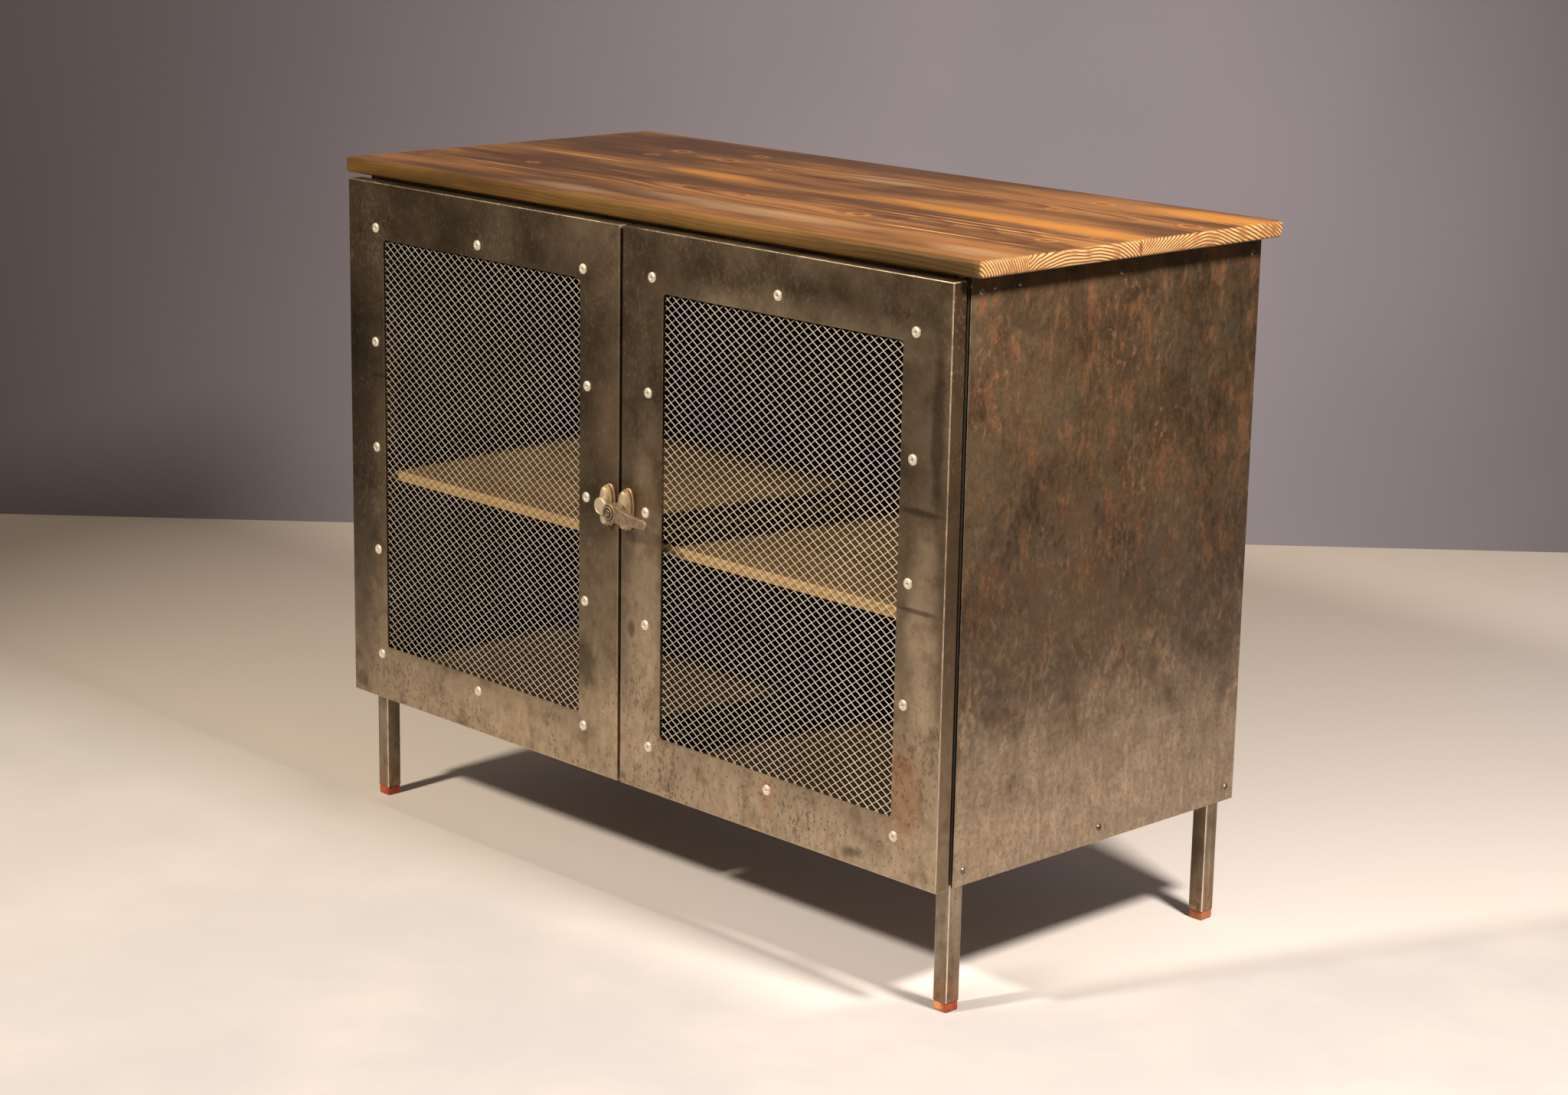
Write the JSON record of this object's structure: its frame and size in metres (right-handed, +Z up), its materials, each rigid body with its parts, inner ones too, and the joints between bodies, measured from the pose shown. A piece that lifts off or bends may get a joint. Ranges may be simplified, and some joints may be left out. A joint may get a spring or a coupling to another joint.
{
  "type": "industrial metal cabinet",
  "caption": "Low steel cabinet on square-tube legs, with hinged doors glazed in expanded metal, a turning lever latch, a shelf inside and an oiled timber top.",
  "frame": {"origin": "on the floor, under the middle of the outer box", "axes": "+X to the right seen from the front, +Y to the back, +Z up; the doors face -Y"},
  "size_m": [1.0574, 0.5376, 0.8101],
  "materials": {
    "bare_steel": "bare steel, browned and rubbed",
    "rusty_steel": "bare steel sheet mottled with rust",
    "pale_mesh": "pale grey expanded metal",
    "stained_pine": "stained and oiled pine, end grain at the ends",
    "shelf_board": "plain brown board",
    "orange_foot": "worn orange-red plug",
    "cast_zinc": "dull grey-brown casting",
    "worn_brass": "worn pale brass with brown rims",
    "hinge_steel": "plain grey steel"
  },
  "bodies": {
    "carcass": {"leg_front_left": "bare_steel", "foot_front_left": "orange_foot", "leg_front_right": "bare_steel", "foot_front_right": "orange_foot", "leg_rear_left": "bare_steel", "foot_rear_left": "orange_foot", "leg_rear_right": "bare_steel", "foot_rear_right": "orange_foot", "rail_bottom_front": "bare_steel", "rail_bottom_rear": "bare_steel", "rail_bottom_left": "bare_steel", "rail_bottom_right": "bare_steel", "rail_top_front": "bare_steel", "rail_top_rear": "bare_steel", "rail_top_left": "bare_steel", "rail_top_right": "bare_steel", "side_panel_left": "rusty_steel", "side_panel_right": "rusty_steel", "back_panel": "rusty_steel", "bottom_board": "shelf_board", "shelf": "shelf_board", "shelf_cleat_left": "bare_steel", "shelf_cleat_right": "bare_steel", "timber_top": "stained_pine", "hinge_strap_lower_left": "hinge_steel", "hinge_strap_lower_right": "hinge_steel", "hinge_strap_upper_left": "hinge_steel", "hinge_strap_upper_right": "hinge_steel"},
    "left_door": {"door_pan_left": "bare_steel", "door_mesh_left": "pale_mesh", "hinge_bracket_lower_left": "hinge_steel", "hinge_pin_lower_left": "hinge_steel", "hinge_bracket_upper_left": "hinge_steel", "hinge_pin_upper_left": "hinge_steel", "keeper_plate": "worn_brass", "keeper_stud": "worn_brass"},
    "right_door": {"door_pan_right": "bare_steel", "door_mesh_right": "pale_mesh", "hinge_bracket_lower_right": "hinge_steel", "hinge_pin_lower_right": "hinge_steel", "hinge_bracket_upper_right": "hinge_steel", "hinge_pin_upper_right": "hinge_steel", "latch_plate": "worn_brass", "lever_cap": "worn_brass"},
    "lever": {"latch_lever": "cast_zinc"}
  },
  "joints": [
    {"name": "left_door_hinge", "type": "hinge", "parent": "carcass", "child": "left_door", "pos_m": [-0.4962, -0.2252, 0.1426], "axis": [0, 0, -1], "range_deg": [0, 105]},
    {"name": "right_door_hinge", "type": "hinge", "parent": "carcass", "child": "right_door", "pos_m": [0.4962, -0.2252, 0.1426], "axis": [0, 0, 1], "range_deg": [0, 105]},
    {"name": "lever_turn", "type": "hinge", "parent": "right_door", "child": "lever", "pos_m": [0.0175, -0.2585, 0.4683], "axis": [0, -1, 0], "range_deg": [0, 90]}
  ]
}
